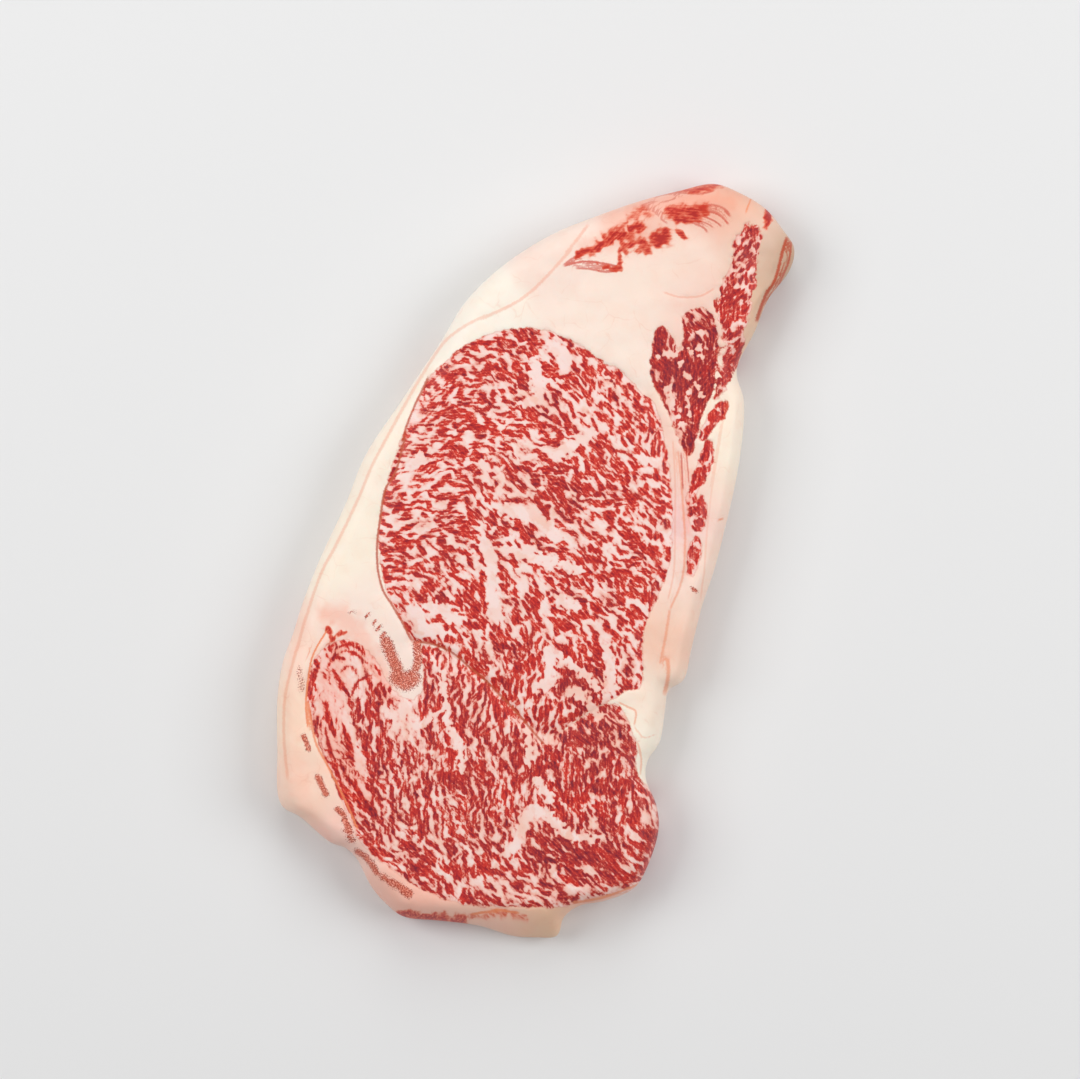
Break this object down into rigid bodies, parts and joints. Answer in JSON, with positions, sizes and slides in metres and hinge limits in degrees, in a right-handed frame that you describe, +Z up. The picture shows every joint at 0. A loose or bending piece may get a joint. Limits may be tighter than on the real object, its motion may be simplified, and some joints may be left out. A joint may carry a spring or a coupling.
{
  "type": "raw sirloin steak",
  "caption": "Raw sirloin steak: one thick slice of marbled beef with a fat cap along one side, lying flat, as food on a board, tray or plate.",
  "frame": {"origin": "on the surface that the steak rests on, under the middle of its outline's box", "axes": "+Z up from the cut face that it lies on to the cut face that shows, +Y along the slice towards its narrow tail end, +X across it, away from the fat cap"},
  "size_m": [0.1484, 0.216, 0.0189],
  "materials": {
    "raw_beef": "damp raw meat: red lean with fine pale marbling, cream fat cap, soft wet sheen"
  },
  "bodies": {
    "root": {"steak": "raw_beef"}
  },
  "joints": []
}
